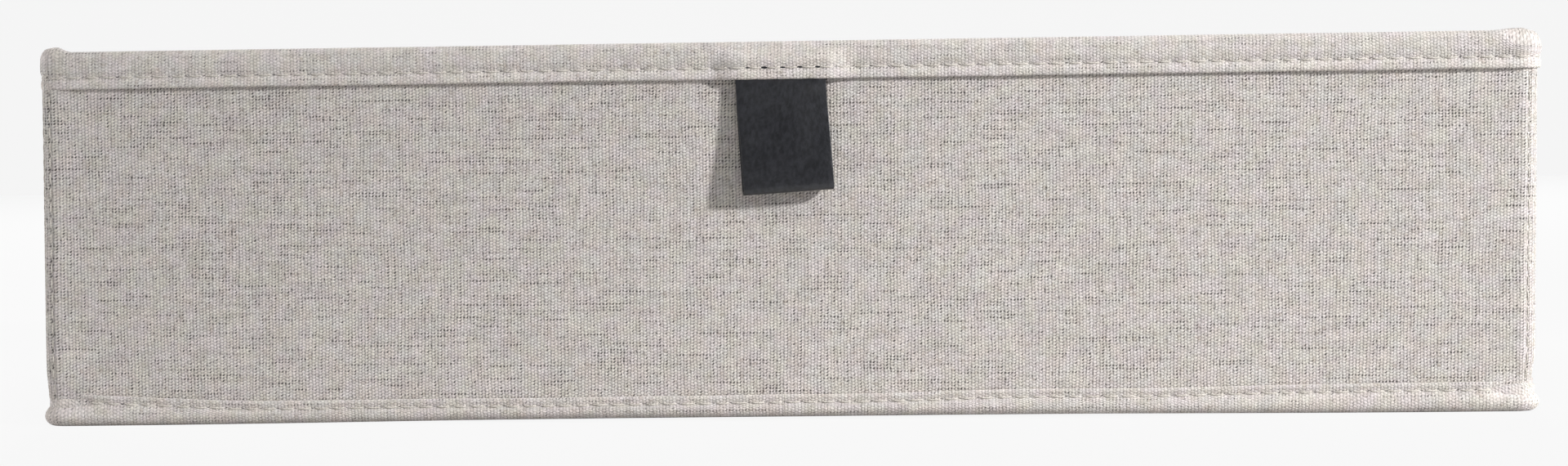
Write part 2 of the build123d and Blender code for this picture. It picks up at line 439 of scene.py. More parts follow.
def build_weave():
    """The plain weave as a node group: height, holes, yarn tone, flecks and wide clouds."""
    tree, cloth, rib_step, pick_step, seed = new_group(
        "plain_weave", {"Cloth": None, "Rib": rib_gap, "Pick": pick_gap, "Seed": 0.0})
    flat_x, flat_y = split(cloth)
    wander, drift, uneven = (cloudy(cloth, scale) - 0.5 for scale in (40, 70, 420))
    across = flat_x / rib_step + wander * wander_share + uneven * uneven_across + seed
    along = flat_y / (pick_step * 2.0) + drift * drift_share + uneven * uneven_along

    # The bumps of the upright yarns.
    rib_number = across.math("FLOOR")
    rib = ((across.math("FRACT") - 0.5) * math.pi).math("COSINE")
    float_place = (rib_number % 2.0) * 0.5 + along
    float_wave = (float_place * (2 * math.pi)).math("COSINE")
    height = rib.math("POWER", 0.35) * (float_wave * 0.42 + 0.58)

    # The holes: each gap's own, and those that a loose cross yarn opens in a whole row.
    gap_number = round(across)
    odd_gap = gap_number % 2.0
    aside = across - gap_number
    row_place = along - 0.25
    row_number = round(row_place)
    hole_place = row_place - odd_gap * 0.5
    hole_number = round(hole_place)
    loose_rib = cloudy(pair(gap_number * 3.1, along * 0.09))
    loose_row = cloudy(pair(across * 0.06, row_number * 3.7))
    single = chance(gap_number * 57.0 + hole_number)
    reed = odd_gap * -0.34 + 0.86
    open_up = loose_rib.spread(0.40, 0.80, 0.46, 0.78) + single.math("POWER", 4.0) * 0.55 - 0.10
    own_holes = slanted_dot(aside, hole_place - hole_number, own_dot_length) * reed * open_up
    run = loose_row.spread(0.50, 0.76, 0.30, 1.2) * (single * 0.75 + 0.34)
    row_holes = slanted_dot(aside, row_place - row_number, row_dot_length) * run
    hole = own_holes.math("MAXIMUM", row_holes)

    # The yarns' own colours: each rib, each row and each bump.
    rib_tone = cloudy(pair(rib_number * 2.3, along * 0.11), 1, 2)
    row_tone = cloudy(pair(across * 0.10, row_number * 2.9), 1, 2)
    float_luck = chance(rib_number * 83.0 + round(float_place))
    tone = rib_tone * 0.38 + row_tone * 0.46 + float_luck * 0.22
    slub_up = cloudy(pair(rib_number * 7.7, along * 0.3))
    slub_across = cloudy(pair(across * 0.3, row_number * 8.3))
    fleck = slub_up.spread(0.70, 0.82).math("MAXIMUM", slub_across.spread(0.70, 0.82))
    fibre = cloudy(cloth, 2400, 2) - 0.5
    put_out(tree, Height=height + fibre - hole * 0.4, Hole=hole, Tone=tone.spread(0.27, 0.81),
            Fleck=fleck, Pink=cloudy(cloth, 150, 3), Yellow=cloudy(pair(flat_y, flat_x), 170, 3))
    return tree


weave = build_weave()


# %% [markdown]
# ## Needle marks
#
# Where the needle went through, the thread pulls a short slanted slit into the cloth, and each
# cloth paints the shade in the slit dark. The marks sit at a steady pitch on a line, so a second
# group works them out from the flat place too, and the stitches modelled later lie between them.


# %% Needle mark group
def build_needle_marks():
    """Slits at each multiple of Pitch along a line at height Line, for the cloth's painted shade.
    """
    inputs = {"Cloth": None, "Line": 0.0, "Pitch": 5.15 * MM, "Long": 0.5 * MM, "Tall": 0.22 * MM}
    tree, cloth, line, pitch, mark_long, mark_tall = new_group("needle_marks", inputs)
    flat_x, flat_y = split(cloth)
    stitches = flat_x / pitch
    number = round(stitches)
    luck = chance(number) - 0.5
    beside = (stitches - number) * pitch
    above = flat_y - line + luck * (0.25 * MM) + beside * (luck * 1.1)
    tall, wide = above / mark_tall, beside / mark_long
    depth = chance(number + 0.5) * 0.5 + 0.6
    put_out(tree, Mark=(tall * tall + wide * wide).spread(0.35, 1.3, 1.0, 0.0) * depth)
    return tree


needle_marks = build_needle_marks()


# %% [markdown]
# ## Cloth, lining, thread, board and leather
#
# One function makes every cloth. It paints shade into the holes, the needle marks and the hollows
# between the bumps. It also tones the yarns lighter and darker, scatters ochre flecks and warms or
# cools wide patches, because undyed yarn is never one colour. The weave's height goes to a Bump
# node at its real depth, so light rakes over the ribs.

# %% Cloth materials
# Painted shade: how far the holes, the hollows between the bumps and the needle marks darken the
# cloth.
hole_shade, valley_shade, mark_shade = 0.90, 0.23, 0.76  # how dark each makes the cloth
darkest_shade = 0.9
tints = (("Pink", (255, 251, 252), (252, 253, 250)), ("Yellow", (254, 253, 248), (252, 252, 253)))


def plain_material(name, colour, rough):
    """A material, its node tree and its shader, to be given detail."""
    material = bpy.data.materials.new(name)
    material.use_nodes = True
    shader = material.node_tree.nodes["Principled BSDF"]
    feed(shader, {"Base Color": colour, "Roughness": rough})
    return material, material.node_tree, shader


def cloth_material(name, light, dark, fleck, rib, pick, seed=0.0, lines=(), contrast=1.0):
    """A woven cloth. lines holds (upright or not, line, pitch) for each row of needle marks."""
    material, tree, shader = plain_material(name, light, 0.9)
    flat = make_node(tree, "ShaderNodeUVMap", {}, uv_map="cloth")
    woven = place_group(tree, weave, Cloth=flat, Rib=rib, Pick=pick, Seed=seed)
    colour = mix_colour(woven["Tone"], dark, light)
    colour = mix_colour(woven["Fleck"] * 0.22, colour, fleck)
    for share, one, other in tints:
        tint = mix_colour(woven[share].spread(0.3, 0.7), srgb(*one), srgb(*other))
        colour = mix_colour(1.0, colour, tint, "MULTIPLY")
    height = woven["Height"]
    valley = height * -1.0 + 1.0
    # Painted shade in the holes and in the hollows between the bumps, scaled by contrast.
    shade = woven["Hole"] * (hole_shade * contrast) + valley * (valley_shade * contrast)
    for upright, line, pitch in lines:
        place = flat
        if upright:
            flat_x, flat_y = split(flat)
            place = pair(flat_y, abs(flat_x))
        mark = place_group(tree, needle_marks, Cloth=place, Line=line, Pitch=pitch)["Mark"]
        # Each needle mark adds its painted shade and sinks the relief.
        shade = shade.math("MAXIMUM", mark * mark_shade)
        height = height - mark
    shade = shade.math("MINIMUM", darkest_shade)
    # The painted shade draws the colour towards a dark brown grey.
    feed(shader, {
        "Base Color": mix_colour(shade, colour, srgb(58, 54, 52)),
        "Normal": relief(height, 0.16 * MM, 0.8),
        "Roughness": woven["Tone"].spread(0, 1, 0.95, 0.82),
        "Specular IOR Level": 0.25, "Sheen Weight": 0.12, "Sheen Roughness": 0.5,
    })
    return material


rim_stitches = 299
rim_pitch = tape_path.length / rim_stitches
corner_pitch = 4.45 * MM
corner_middle = panel_path.ahead + math.pi / 4 * panel_path.corner
corner_seam = 1.5 * MM

linen = {"light": srgb(246, 241, 239), "dark": srgb(218, 212, 209), "fleck": srgb(150, 126, 98),
         "rib": rib_gap, "pick": pick_gap}
outer_cloth = cloth_material("outer_cloth", **linen)
front_cloth = cloth_material(
    "outer_cloth_with_corner_seams", **linen, seed=11.0,
    lines=[(True, corner_middle + side * corner_seam, corner_pitch) for side in (-1, 1)])
tape_cloth = cloth_material(
    "tape_cloth", **linen, seed=43.0, lines=[(False, 0.0, rim_pitch)], contrast=0.62)
lining_cloth = cloth_material(
    "lining_cloth", srgb(228, 223, 213), srgb(206, 200, 190), srgb(186, 172, 150),
    0.62 * MM, 0.31 * MM, contrast=0.55)


# %% Thread, board and leather
def thread_material():
    """Spun polyester thread, a touch lighter than the cloth."""
    material, tree, shader = plain_material("thread", srgb(214, 208, 200), 0.6)
    ply = solid_noise(tree, 3200)
    feed(shader, {
        "Base Color": mix_colour(ply.spread(0.35, 0.65), srgb(188, 181, 172), srgb(226, 221, 213)),
        "Normal": relief(ply, 0.08 * MM),
    })
    return material


def greyboard_material():
    """Pressed recycled board with short fibres."""
    material, tree, shader = plain_material("greyboard", srgb(150, 143, 133), 0.9)
    fibre = solid_noise(tree, 900, 5, (1, 1, 2.5))
    clump = solid_noise(tree, 140, 3).spread(0.4, 0.7, 0.0, 0.4)
    shade = mix_colour(fibre.spread(0.3, 0.7), srgb(128, 121, 112), srgb(168, 161, 150))
    feed(shader, {
        "Base Color": mix_colour(clump, shade, srgb(112, 106, 99)),
        "Normal": relief(fibre, 0.05 * MM),
    })
    return material


def leather_material():
    """Black coated leather: pebbled grain, upright streaks with painted sheen, lighter glossy
    patches.
    """
    material, tree, shader = plain_material("pull_leather", srgb(38, 38, 42), 0.5)
    place = make_node(tree, "ShaderNodeTexCoord", {}, "Object")
    pebble = make_node(tree, "ShaderNodeTexVoronoi", {"Vector": place, "Scale": 1500}, "Distance",
                       feature="SMOOTH_F1")
    # Upright streaks raise the relief, and their lighter colour in the base is painted sheen.
    relief_and_sheen_streak = solid_noise(tree, 900, 4, (1, 1, 0.55))
    # Wide patches that are lighter in colour and glossier.
    light_glossy_patch = solid_noise(tree, 95, 4)
    dark = mix_colour(relief_and_sheen_streak.spread(0.3, 0.7), srgb(24, 25, 29), srgb(41, 42, 47))
    dents = relief(solid_noise(tree, 55, 1), 1.6 * MM)
    feed(shader, {
        "Base Color": mix_colour(light_glossy_patch.spread(0.55, 0.8, 0.0, 0.35), dark, srgb(60, 60, 64)),
        "Roughness": light_glossy_patch.spread(0.35, 0.7, 0.44, 0.30),
        "Normal": relief(pebble * -0.8 + relief_and_sheen_streak, 0.10 * MM, 0.8, dents),
        "Specular IOR Level": 0.5,
    })
    return material


thread = thread_material()
greyboard = greyboard_material()
leather = leather_material()


# %% [markdown]
# ## The wall cloths
#
# The front cloth turns both front corners and ends in a seam on each side wall, and the back cloth
# does the same. Each side wall has a flat panel between the seams. At a seam both edges turn in,
# which leaves a fine groove. The cloth is drawn tight over its board, so it's almost flat: it only
# breathes a few tenths of a millimetre, dips where the corners are top-stitched, and is pulled in
# where the base tape is sewn on.

# %% Wall cloth sizes
cloth_thickness = 0.45 * MM
seam_setback = 6.2 * MM
seam_turn = 1.6 * MM
column_step = 2.4 * MM
row_step = 2.5 * MM
front_reach = panel_path.ahead + math.pi / 2 * panel_path.corner + seam_setback - panel_path.corner
side_middle = panel_path.quarter
side_reach = side_middle - front_reach
corner_pinches = (3.0 * MM, 2.2 * MM, 2.0 * MM, 2.5 * MM)  # front right, back right and on round
wall_breath, wall_ripple = 0.16 * MM, 0.05 * MM
seam_fold = 0.10 * MM  # how far the cloth dips beside a seam


def base_pinch(along):
    """How hard the base seam draws in the nearest corner: hardest at the front right."""
    return corner_pinches[int(along % panel_path.length // panel_path.quarter)]


def corner_fullness(along):
    """How far the cloth stands out where it turns the front left corner, fuller than the others."""
    place = (along + panel_path.length / 2) % panel_path.length - panel_path.length / 2
    return 0.75 * MM * dip(place, -corner_middle, 7 * MM)


def wall_relief(along, up, corner_stitched):
    """How far the cloth stands out from the stiff wall at a place."""
    calm = wall_breath * wobble(along * 14, up * 19, 0.3)
    calm += wall_ripple * wobble(along * 60, up * 45, 3.3)
    from_corner = panel_path.from_corner(along)
    corner = 1 - ease(from_corner, 3 * MM, 11 * MM)
    pulled = 1.1 * (base_pinch(along) - 1.9 * MM) * corner * (1 - ease(up, 7 * MM, 18 * MM))
    pulled += 0.9 * MM * corner * (1 - ease(up, 5.5 * MM, 8.5 * MM))
    stitched = 0.0
    if corner_stitched:
        groove = (0.20 + 0.14 * needle_pull(up, corner_pitch)) * MM
        stitched = groove * dip(from_corner, corner_seam, 0.6 * MM)
        stitched -= 0.16 * MM * dip(from_corner, 0, 0.8 * MM)  # the fold between both rows
    return calm + corner_fullness(along) - pulled - stitched


def spaced(reach, step, fine_ends, fine_step=0.5 * MM):
    """Places from -reach to reach, about a step apart and finer near the ends."""
    count = max(2, round((reach - fine_ends) / step))
    fine = max(1, round(fine_ends / fine_step))
    right = [(reach - fine_ends) * k / count for k in range(count + 1)]
    right += [reach - fine_ends + fine_ends * k / fine for k in range(1, fine + 1)]
    return [-x for x in reversed(right[1:])] + right


def wall_cloth(name, middle, reach, fine_ends, stitched):
    """One panel of outer cloth, drawn round the walls, its two side edges turned in."""
    turned_in = [reach + seam_turn * share for share in (0.25, 0.6, 1.0)]
    places = [-place for place in reversed(turned_in)]
    places += spaced(reach, column_step, fine_ends) + turned_in
    if stitched:
        rows = 4 * round((wall_top - wall_foot) / corner_pitch)
    else:
        rows = round((wall_top - wall_foot) / row_step)
    step = (wall_top - wall_foot) / rows

    def flat_at(column, row):
        return places[round(column)] + (0 if stitched else middle), wall_foot + row * step

    bm = cut_cloth(len(places) - 1, rows, flat_at)
    for vert in bm.verts:
        along, up = places[round(vert.co.x)], wall_foot + vert.co.y * step
        on_wall = min(max(along, -reach), reach)
        turned = abs(along - on_wall)
        point, outward = panel_path.at(middle + on_wall)
        out = wall_relief(middle + on_wall, up, stitched)
        out -= turned or seam_fold * dip(abs(on_wall), reach, 0.5 * MM)
        vert.co = point + outward * out + up * UP
    piece = make_piece(bm, name, front_cloth if stitched else outer_cloth, "tray", "outer_cloth",
                       name.replace("_panel", "_outer_cloth"))
    thicken(piece, cloth_thickness)
    2 * reach + 2 * seam_turn
    wall_top - wall_foot
    name.replace("_panel", "_board_sheet")


# %% [markdown]
# ## The boards inside
#
# Nothing shows of them, but they lean with the cloth, so they are made again from a block with
# its cut edges eased.


# %% Wall boards
def wall_board_sheet(name):
    """A greyboard that leans with its wall."""
    low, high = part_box(f"{name}_wall_board")
    bm = block(high - low - Vector((0.1, 0.1, 0.1)) * MM, (high + low) / 2)
    round_edges(bm, bm.edges[:], 0.3 * MM, 2)
    make_piece(bm, f"{name}_board_sheet", greyboard, "tray", "greyboard", f"{name}_wall_board")


for wall in ("front", "back", "left", "right"):
    wall_board_sheet(wall)

# %% Sew the wall cloths
corner_zone = front_reach - panel_path.ahead + 6 * MM
wall_cloth("front_panel", 0, front_reach, corner_zone, True)
wall_cloth("back_panel", 2 * panel_path.quarter, front_reach, corner_zone, True)
wall_cloth("right_panel", side_middle, side_reach, 1.5 * MM, False)
wall_cloth("left_panel", 3 * side_middle, side_reach, 1.5 * MM, False)


# %% [markdown]
# ## The rim tape
#
# The tape is folded over the wall's top edge, both raw edges turned under, and sewn through with
# one row of stitches. The row pulls a groove, so the tape below it flares out into a soft lip that
# catches the light, and the tape above it fills out over the edge of the wall. At the corners the
# folds pile up and the tape stands a little proud. Its section is drawn once as a function of the
# place along the rim, and a grid is wrapped along the path, with four columns to each stitch so
# that every needle hole can pull its own dimple.

# %% Rim tape sizes
rim_tape_width = 27 * MM
columns_per_stitch = 4
rim_stitch_height = rim_lip + 3.4 * MM
rim_top = rim_high.z - 1.2 * MM
top_radius = 1.9 * MM
rim_corners = (  # lift, its place past the corner's middle, where it is full and ends, edge radius
    (0.60 * MM, -4.0 * MM, 1.0 * MM, 9.5 * MM, 4.6 * MM),
    (1.10 * MM, 0.0, 2.4 * MM, 8.0 * MM, 3.0 * MM),
    (1.20 * MM, 0.0, 2.2 * MM, 7.0 * MM, 2.6 * MM),
    (1.33 * MM, 1.2 * MM, 2.2 * MM, 6.2 * MM, 2.8 * MM),
)
lip_height = 0.65 * MM
lip_radius = 0.52 * MM
lip_flare = 0.16 * MM
inner_lip = rim_lip + 1.3 * MM
groove_width = 0.95 * MM
tail_top = rim_lip + 4.6 * MM
strip_width = 26.3 * MM
pull_middle = hinge.x
tail_thickness = 1.9 * MM


def arc(out, up, radius, start, end, steps):
    """Points on an arc of a section, angles in degrees, without its first point."""
    angles = [math.radians(start + (end - start) * k / steps) for k in range(1, steps + 1)]
    return [(out + radius * math.cos(a), up + radius * math.sin(a)) for a in angles]


def down_face(face, along, top, foot, steps):
    """Points down a face of a section from top to foot, without the first."""
    heights = [top + (foot - top) * k / steps for k in range(1, steps + 1)]
    return [(face(along, up), up) for up in heights]


def front_place(along):
    """A distance along the path as a place left or right of the middle of the front."""
    return (along + tape_path.length / 2) % tape_path.length - tape_path.length / 2


def over_leather(along):
    """1 where the rim tape lies over the pull's sewn ends, easing to 0 beside them."""
    aside = abs(front_place(along) - pull_middle) - strip_width / 2
    return 1 - ease(aside, -0.3 * MM, 8 * MM)


def rim_wave(along):
    """A slow waver of the tape's lower edge."""
    return 0.22 * MM * wobble(along * 38, 0.0, 1.0)


def corner_share(along, near, far):
    """1 within near of a corner's middle, easing to 0 at far."""
    return 1 - ease(tape_path.from_corner(along), near, far)


def rim_corner_fold(along):
    """The nearest corner's fold: how far it lifts the tape there and how round its edge is."""
    along %= tape_path.length
    number = int(along // tape_path.quarter)
    rise, shift, near, far, edge = rim_corners[number]
    corner = tape_path.ahead + math.pi / 4 * tape_path.corner
    middle = 2 * tape_path.quarter * ((number + 1) // 2) + (corner, -corner)[number % 2]
    rise *= 1 - ease(abs(along - middle - shift), near, far)
    return rise, top_radius + (edge - top_radius) * corner_share(along, 5 * MM, 12 * MM)


def rim_groove(along):
    """How deep the stitches pull the tape in."""
    luck = wobble(along * 160, 0.0, 5.0)
    return (0.44 + 0.22 * needle_pull(along, rim_pitch) + 0.12 * luck) * MM


def rim_outer(along, up):
    """How far out of the wall the rim tape's outside face is at a height."""
    flare = lip_flare + 0.5 * rim_wave(along) - 0.35 * MM * corner_share(along, 4 * MM, 10 * MM)
    out = tape + flare * (1 - ease(up, rim_lip, rim_stitch_height))
    out -= rim_groove(along) * dip(up, rim_stitch_height, groove_width)
    out += 0.10 * MM * dip(up, rim_stitch_height + 3 * MM, 1.6 * MM)
    lifted = tail_thickness * over_leather(along)
    return out + lifted * (1 - ease(up, tail_top, rim_top))


def rim_inner(along, up):
    """How far in of the wall the rim tape's inside face is at a height."""
    groove = 0.8 * rim_groove(along) * dip(up, rim_stitch_height, groove_width)
    return groove - wall_thickness - tape


def rim_section(along):
    """The rim tape's closed section at a place, as (out of the wall, up) points."""
    rise, edge_radius = rim_corner_fold(along)
    bunch = 0.06 * rise * math.sin(along * 5200)
    crown = rim_top + rise + bunch
    shoulder = crown - edge_radius
    lip = rim_lip + 0.35 * rim_wave(along) - 0.08 * MM * needle_pull(along, rim_pitch)
    lip_centre = lip + lip_height
    lifted = max(tail_thickness * over_leather(along), 0.1 * MM)
    inner_radius = min(top_radius, wall_thickness + 2 * tape - edge_radius)
    inside, outside = inner_radius - wall_thickness - tape, tape - edge_radius
    points = arc(inside, crown - inner_radius, inner_radius, 180, 90, 5)
    points += [((inside + outside) / 2, crown + 0.12 * MM), (outside, crown)]
    points += arc(outside, shoulder, edge_radius, 90, 0, 5)
    points += down_face(rim_outer, along, shoulder, rim_stitch_height, 7)
    points += down_face(rim_outer, along, rim_stitch_height, lip_centre, 5)
    half = (points[-1][0] - lifted) / 2
    points += [(lifted + half + half * math.cos(a), lip_centre - lip_height * math.sin(a))
               for a in (math.pi * k / 6 for k in range(1, 7))]
    points += [(lifted + 0.05 * MM, tail_top), (0.05 * MM, tail_top + 2 * MM)]
    points += [(0, wall_top), (-wall_thickness, wall_top)]
    points += [(-wall_thickness, inner_lip + lip_radius)]
    points += arc(-wall_thickness - lip_radius, inner_lip + lip_radius, lip_radius, 0, -180, 5)
    points += down_face(rim_inner, along, inner_lip + lip_radius, rim_stitch_height, 2)
    points += down_face(rim_inner, along, rim_stitch_height, crown - inner_radius, 6)
    return points


def running_width(section, start):
    """The distance along a section's points from the point numbered start."""
    widths = [0.0]
    for (a, b), (c, d) in zip(section, section[1:] + section[:1]):
        widths.append(widths[-1] + math.hypot(c - a, d - b))
    return [width - widths[start] for width in widths]


def sew_tape(name, section_at, zero_row, width, solid):
    """A closed ring of tape: a section for each column, joined where it meets itself."""
    columns = rim_stitches * columns_per_stitch
    step = tape_path.length / columns
    sections = [section_at(column * step) for column in range(columns)]
    stations = [tape_path.at(column * step) for column in range(columns)]
    rows = len(sections[0])
    widths = running_width(sections[columns // 3], zero_row)
    bm = cut_cloth(columns, rows, lambda column, row: (column * step, -widths[round(row)]))
    for vert in bm.verts:
        column, row = round(vert.co.x) % columns, round(vert.co.y) % rows
        out, up = sections[column][row]
        point, outward = stations[column]
        vert.co = point + out * outward + up * UP
    bmesh.ops.remove_doubles(bm, verts=bm.verts, dist=1e-7)
    bmesh.ops.recalc_face_normals(bm, faces=bm.faces)
    tape_piece = make_piece(bm, name, tape_cloth, "tray", "outer_cloth", solid)
    tape_path.length


# %% Sew the rim tape
rim_zero_row = 5 + 2 + 5 + 7 - 1  # the section's point on the stitch line
sew_tape("rim_tape", rim_section, rim_zero_row, rim_tape_width, "rim_binding")


# %% [markdown]
# ## The base tape
#
# The base tape is turned under the foot. Its sewn row lies a few millimetres up the wall, the tape
# below it bulges like a small cushion and rounds under, and its upper edge runs a little unevenly,
# as hand-guided tape does. The foot is drawn up a touch between the corners.

# %% Base tape sizes
base_tape_width = 21 * MM
foot_radius = 3.0 * MM
under_reach = 9 * MM
base_lip_radius = 0.5 * MM
base_stitch_drop = 2.3 * MM  # from the tape's upper edge down to the stitches


def base_height(along):
    """The height of the base tape's upper edge: lowest a little left of the front's middle."""
    place = front_place(along)
    uneven = 0.35 * MM * wobble(along * 22, 0.0, 9.0)
    if abs(place) > tape_path.ahead + 10 * MM:
        return 8.6 * MM + uneven
    left_end = 2.8 * MM * (1 - ease(place + tape_path.ahead, -12 * MM, 64 * MM))
    climb = 2.2 * MM * ease(place, -120 * MM, 300 * MM)
    return 7.0 * MM + left_end + climb + uneven


def foot_lift(from_corner):
    """How far the foot is drawn up off the table, by the distance from the nearest corner."""
    return 0.75 * MM * ease(from_corner, 20 * MM, 180 * MM)


def base_outer(along, up):
    """How far out of the wall the base tape's outside face is at a height."""
    stitch = base_height(along) - base_stitch_drop
    luck = wobble(along * 150, 2.0, 5.0)
    groove = (0.42 + 0.18 * needle_pull(along, rim_pitch) + 0.12 * luck) * MM
    out = tape + 0.30 * MM * dip(up, 0.42 * stitch, 2.2 * MM)
    pinch = base_pinch(along) * corner_share(along, 4 * MM, 16 * MM)
    out -= pinch * (0.67 * ease(up, 3 * MM, stitch) + 0.33 * dip(up, stitch, 1.3 * MM))
    return out - groove * dip(up, stitch, 0.9 * MM)


def base_section(along):
    """The base tape's closed section at a place."""
    lip_centre = base_height(along) - base_lip_radius
    stitch = base_height(along) - base_stitch_drop
    lift = foot_lift(tape_path.from_corner(along))
    foot_centre = foot_radius + lift
    points = arc(base_outer(along, lip_centre) - base_lip_radius, lip_centre,
                 base_lip_radius, 180, 0, 4)
    points += down_face(base_outer, along, lip_centre, stitch, 4)
    points += down_face(base_outer, along, stitch, foot_centre, 4)
    points += arc(points[-1][0] - foot_radius, foot_centre, foot_radius, 0, -90, 7)
    points += [(-under_reach / 2, lift / 2), (0.5 * MM - under_reach, 0.0)]
    points += arc(0.5 * MM - under_reach, 0.5 * MM, 0.5 * MM, -90, -270, 4)
    points += [(-under_reach * 0.4, 1.1 * MM + lift / 2), (0.0, 1.2 * MM + lift)]
    points += [(0.0, lip_centre - 1 * MM)]
    return points


# %% Sew the base tape
base_zero_row = 4 + 4 - 1  # the section's point on the stitch line
sew_tape("base_tape", base_section, base_zero_row, base_tape_width, "base_binding")


# %% [markdown]
# ## Stitches
#
# A stitch is a short rod of thread that comes up at one needle hole and goes down at the next. It
# lies in the groove that it pulls, so it only just shows. Every row is one piece, made stitch by
# stitch from a function that gives the thread's place.


# %% Thread
thread_radius = 0.24 * MM
thread_sides = 5
thread_steps = 6
stitch_share = 0.84  # of the way from one needle hole to the next
thread_dive = 0.45 * MM  # how deep each end goes into the cloth
thread_lift = 0.12 * MM  # how far the thread lies above the bottom of its groove
first_corner_stitch = 2


def add_stitch(bm, centres, outward):
    """One stitch through its centres, thinner where it dives into the cloth."""
    rings = []
    last = len(centres) - 1
    for number, centre in enumerate(centres):
        ahead = centres[min(number + 1, last)] - centres[max(number - 1, 0)]
        side = ahead.cross(outward).normalized()
        lift = side.cross(ahead).normalized()
        radius = thread_radius * (0.6 if number in (0, last) else 1)
        turns = [2 * math.pi * k / thread_sides for k in range(thread_sides)]
        rings.append([
            bm.verts.new(centre + radius * (math.cos(a) * side + math.sin(a) * lift))
            for a in turns
        ])
    skin_rings(bm, rings)


def sew_row(name, count, thread_at):
    """A row of stitches. thread_at(place) gives a point and the outward direction there."""
    bm = bmesh.new()
    for number in range(count):
        length = stitch_share + 0.12 * wobble(number * 0.77, 4.0, 8.0)
        centres = []
        for step in range(thread_steps + 1):
            share = step / thread_steps
            point, outward = thread_at(number + 0.5 + (share - 0.5) * length)
            centres.append(point - outward * thread_dive * abs(2 * share - 1) ** 5)
        add_stitch(bm, centres, outward)
    bmesh.ops.recalc_face_normals(bm, faces=bm.faces)
    make_piece(bm, name, thread, "tray", "outer_cloth")


def on_ring(face, height, side=1):
    """The thread's place on a face of a ring of tape, at a place counted in stitches."""

    def at(place):
        along = place * rim_pitch
        up = height(along)
        point, outward = tape_path.at(along)
        slant = 0.10 * MM * math.cos(2 * math.pi * place)
        point = point + outward * (face(along, up) + side * thread_lift) + (up + slant) * UP
        return point, outward * side

    return at


def on_corner(along, foot):
    """The thread's place on an upright corner seam, counted in stitches from the foot."""

    def at(place):
        up = foot + place * corner_pitch
        point, outward = panel_path.at(along)
        return point + outward * (wall_relief(along, up, True) + 0.10 * MM) + up * UP, outward

    return at


sew_row("rim_stitches_outside", rim_stitches,
        on_ring(rim_outer, lambda along: rim_stitch_height))
sew_row("rim_stitches_inside", rim_stitches,
        on_ring(rim_inner, lambda along: rim_stitch_height, -1))
sew_row("base_stitches", rim_stitches,
        on_ring(base_outer, lambda along: base_height(along) - base_stitch_drop))
corner_names = ("front_right", "back_right", "back_left", "front_left")
corner_count = math.floor(rim_lip / corner_pitch - first_corner_stitch)
for corner, corner_name in enumerate(corner_names):
    middle = corner_middle if corner % 2 == 0 else 2 * panel_path.quarter - corner_middle
    middle += 2 * panel_path.quarter * (corner // 2)
    for side, side_name in ((-1, "a"), (1, "b")):
        sew_row(f"corner_stitches_{corner_name}_{side_name}", corner_count,
                on_corner(middle + side * corner_seam, first_corner_stitch * corner_pitch))


# %% [markdown]
# ## The lining
#
# The lining hangs in its pockets a little looser than the outside, so it breathes more. Its four
# wall pieces stand on the seam round the floor.

# %% Wall linings
thin_cloth = 0.4 * MM
outwards = {
    "front": Vector((0, -1, 0)),
    "back": Vector((0, 1, 0)),
    "left": Vector((-1, 0, 0)),
    "right": Vector((1, 0, 0)),
}


def wall_lining(wall):
    """The lining of one wall, from the floor seam to the wall's top."""
    outward = outwards[wall]
    along = UP.cross(outward)
    low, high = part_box(f"{wall}_lining")
    reach = abs(high.dot(along)) - 0.25 * MM
    depth = min(abs(low.dot(outward)), abs(high.dot(outward)))
    places = spaced(reach, 3.5 * MM, 6 * MM, 1.0 * MM)
    rows = 36
    step = (high.z - low.z) / rows

    def flat_at(column, row):
        return places[round(column)], low.z + row * step

    bm = cut_cloth(len(places) - 1, rows, flat_at)
    for vert in bm.verts:
        place, up = flat_at(vert.co.x, vert.co.y)
        slack = 0.30 * MM * wobble(place * 11, up * 16, depth * 50)
        slack *= 1 - ease(abs(place), reach - 8 * MM, reach)
        slack *= ease(up, low.z, low.z + 12 * MM)
        vert.co = place * along + (depth - abs(slack) * 0.5) * outward + up * UP
    bmesh.ops.reverse_faces(bm, faces=bm.faces)
    piece = make_piece(bm, f"{wall}_lining_sheet", lining_cloth, "tray", "lining_cloth",
                       f"{wall}_lining")
    thicken(piece, thin_cloth)
    2 * reach
    high.z - low.z
    f"{wall}_board_sheet"


for wall in outwards:
    wall_lining(wall)


# %% [markdown]
# ## The floor
#
# The base cloth and the floor lining are both sewn in at the foot seam. They lie flat, and step
# down just inside the base tape.

# %% Base cloth and floor lining
tape_step = 3 * MM


def floor_sheet(name, node, less, material, slot, lifted):
    """A cloth across the whole base, less a margin, raised where it lies on the tape."""
    reach_x, reach_y = half_width - less, half_depth - less
    low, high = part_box(node)
    edge_height = high.z - low.z - (0.8 * MM if lifted else 0.5 * MM)
    across = spaced(reach_x, 9 * MM, 14 * MM, 1.4 * MM)
    back = spaced(reach_y, 9 * MM, 14 * MM, 1.4 * MM)
    bm = cut_cloth(len(across) - 1, len(back) - 1,
                   lambda column, row: (across[round(column)], back[round(row)]))
    for vert in bm.verts:
        x, y = across[round(vert.co.x)], back[round(vert.co.y)]
        from_side, from_end = half_width - abs(x), half_depth - abs(y)
        inset = min(from_side, from_end)
        up = low.z + edge_height * ease(inset, under_reach + tape_step, under_reach)
        up += 0.11 * MM * (1 + wobble(x * 13, y * 13, low.z * 900))
        if lifted:
            up += foot_lift(max(from_side, from_end)) * max(0, 1 - inset / (6 * MM))
        vert.co = (x, y, up)
    piece = make_piece(bm, name, material, "tray", slot, node)
    thicken(piece, thin_cloth, 1)
    2 * reach_x
    2 * reach_y


floor_sheet("base_cloth", "base_outer_cloth", 1.5 * MM, outer_cloth, "outer_cloth", True)
floor_sheet("floor_lining_sheet", "floor_lining", 3 * MM, lining_cloth, "lining_cloth", False)


